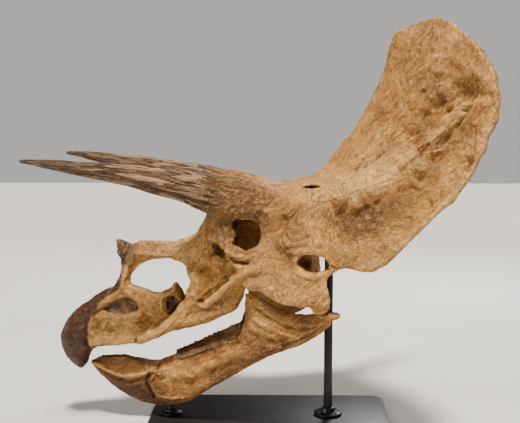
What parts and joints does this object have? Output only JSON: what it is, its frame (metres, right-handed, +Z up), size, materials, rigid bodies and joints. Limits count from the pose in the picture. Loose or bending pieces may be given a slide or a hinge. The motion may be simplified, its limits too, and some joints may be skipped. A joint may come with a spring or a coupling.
{
  "type": "horned dinosaur skull",
  "caption": "Fossil skull of a large horned dinosaur: long brow horns, small nose horn, hooked beak, broad solid frill and parted jaws, held nose down on a plain display stand.",
  "frame": {"origin": "on the floor at the underside of the stand, under the middle of the whole in length and width", "axes": "+X from the beak towards the back of the frill, +Y from the skull's left side to its right, +Z up"},
  "size_m": [1.8302, 1.2392, 1.7381],
  "materials": {
    "bone": "matte fossil bone, ochre to cream, finely grooved",
    "horn_core": "matte grey-brown horn core with lengthwise grooves",
    "beak": "matte dark brown beak bone, pitted",
    "steel": "satin black paint on steel"
  },
  "bodies": {
    "root": {"cranium": "bone", "nasal": "bone", "premaxilla": "bone", "parietal": "bone", "squamosal_left": "bone", "squamosal_right": "bone", "jugal_left": "bone", "jugal_right": "bone", "maxilla_left": "bone", "maxilla_right": "bone", "quadrate_left": "bone", "quadrate_right": "bone", "occipital_condyle": "bone", "palate": "bone", "postorbital_left": "bone", "postorbital_right": "bone", "lacrimal_left": "bone", "lacrimal_right": "bone", "pterygoid_left": "bone", "pterygoid_right": "bone", "dentary_left": "bone", "dentary_right": "bone", "brow_horn_left": "horn_core", "brow_horn_right": "horn_core", "nasal_horn": "horn_core", "rostral": "beak", "predentary": "beak", "stand_base": "steel", "stand_post_rear": "steel", "stand_post_front": "steel"}
  },
  "joints": []
}
